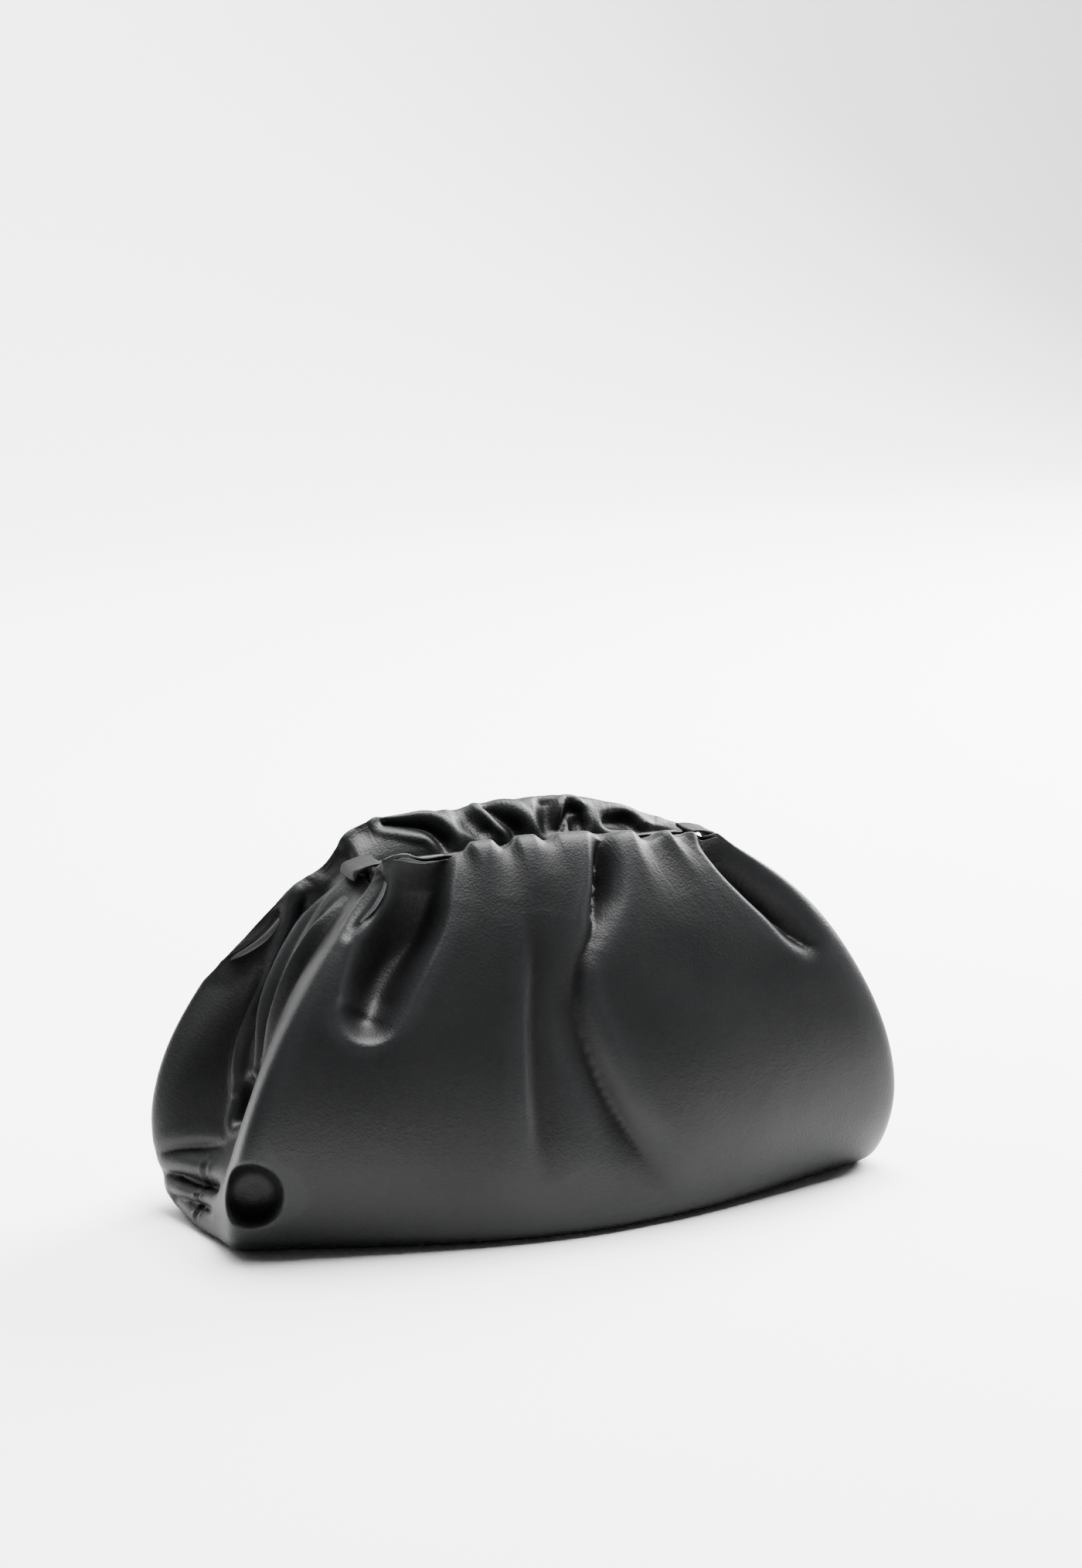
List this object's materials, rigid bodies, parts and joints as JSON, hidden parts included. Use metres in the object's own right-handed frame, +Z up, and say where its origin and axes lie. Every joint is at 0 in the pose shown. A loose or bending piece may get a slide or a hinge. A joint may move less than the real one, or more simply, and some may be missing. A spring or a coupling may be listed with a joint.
{
  "type": "cloud pouch bag",
  "caption": "Soft gathered leather clutch with a dented body, a slim hidden mouth frame and a leather loop over each hinge end.",
  "frame": {"origin": "centre of the footprint, on the surface the bag stands on", "axes": "+Z up, +X along the length towards the bag's right end, -Y out of the front"},
  "size_m": [0.3536, 0.1642, 0.1866],
  "materials": {
    "pouch_leather": "soft smooth black nappa with a low sheen",
    "tab_leather": "soft smooth black nappa with a low sheen",
    "frame_steel": "black covered steel strip"
  },
  "bodies": {
    "root": {"pouch_body": "pouch_leather", "frame_bar_front": "frame_steel", "frame_bar_back": "frame_steel", "tab_left": "tab_leather", "tab_right": "tab_leather"}
  },
  "joints": []
}
